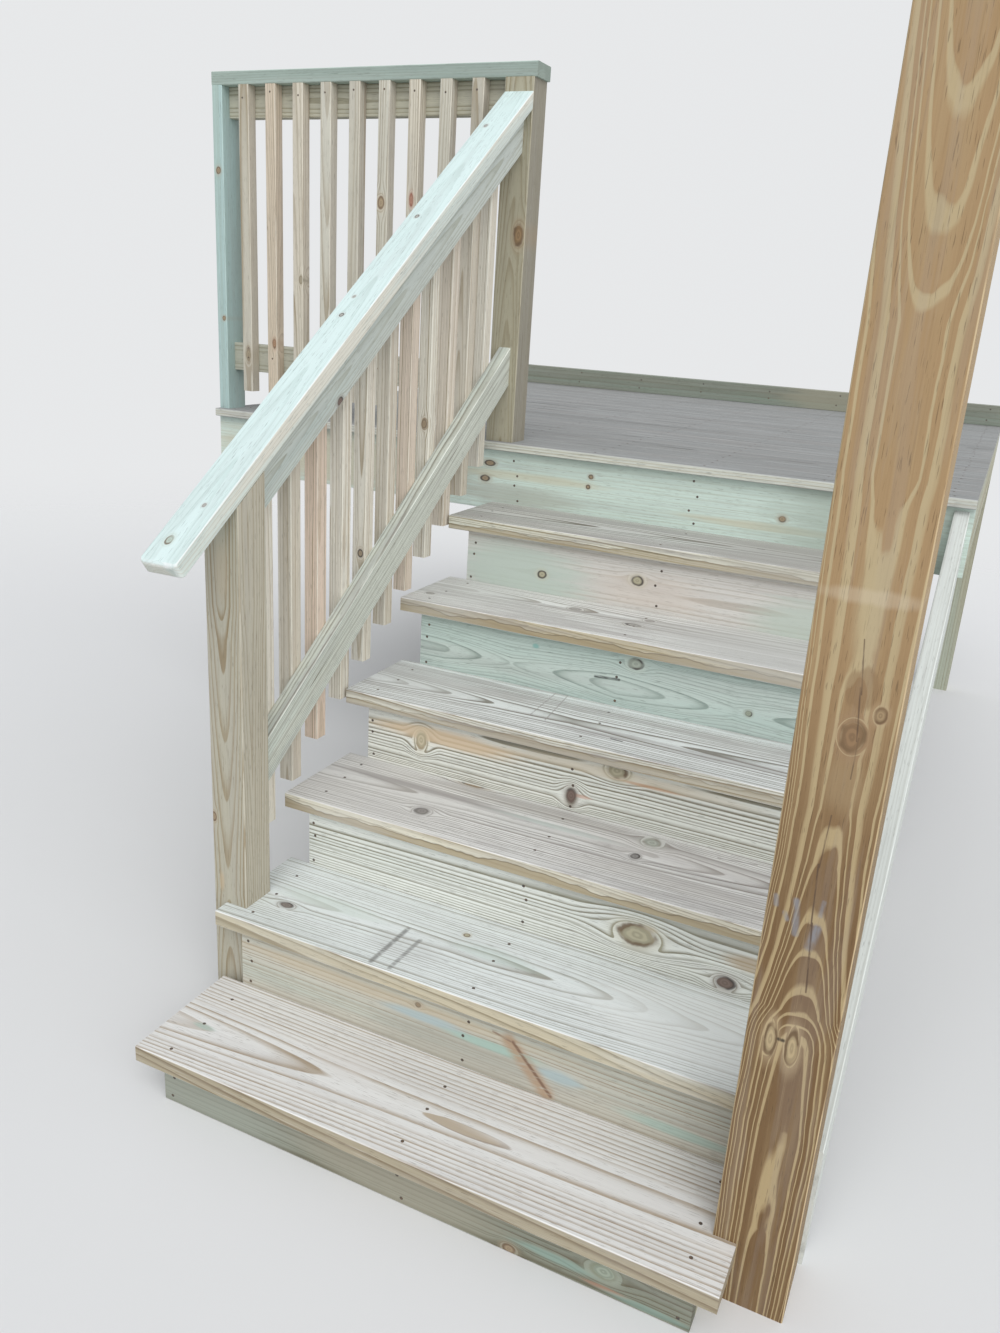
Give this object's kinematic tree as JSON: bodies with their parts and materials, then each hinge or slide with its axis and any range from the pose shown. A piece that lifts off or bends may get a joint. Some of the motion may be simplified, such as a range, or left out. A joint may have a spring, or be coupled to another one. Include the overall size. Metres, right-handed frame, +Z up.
{
  "type": "timber entry steps",
  "caption": "Straight timber entry steps up to a small landing, with a sloping rail of square balusters on the left and a tall porch post on the right.",
  "frame": {"origin": "on the ground under the lowest riser, midway along the lowest tread", "axes": "+X along the treads to the right, +Y up the steps into the house, +Z up"},
  "size_m": [2.422, 4.016, 2.44],
  "materials": {
    "balusters": "bare weathered treated pine",
    "deck": "bare weathered treated pine",
    "framing": "bare weathered treated pine",
    "porch_post": "bare weathered treated pine",
    "rail_posts": "bare weathered treated pine",
    "rails": "bare weathered treated pine",
    "risers": "bare weathered treated pine",
    "treads": "bare weathered treated pine"
  },
  "bodies": {
    "root": {"back_joist": "framing", "deck_boards": "deck", "joists": "framing", "kickboard": "rails", "landing_balusters": "balusters", "landing_bottom_rail": "rails", "landing_cap": "rails", "landing_top_rail": "rails", "newel_post": "rail_posts", "porch_post": "porch_post", "rim_joist": "risers", "riser_1": "risers", "riser_2": "risers", "riser_3": "risers", "riser_4": "risers", "riser_5": "risers", "riser_6": "risers", "side_board": "framing", "stair_balusters": "balusters", "stair_bottom_rail": "rails", "stair_cap": "rails", "stair_header": "framing", "stair_top_rail": "rails", "stringer_left": "framing", "stringer_middle": "framing", "stringer_right": "framing", "support_posts": "framing", "top_post": "rail_posts", "tread_1": "treads", "tread_2": "treads", "tread_3": "treads", "tread_4": "treads", "tread_5": "treads", "tread_6": "treads", "wall_plate": "rails"}
  },
  "joints": []
}
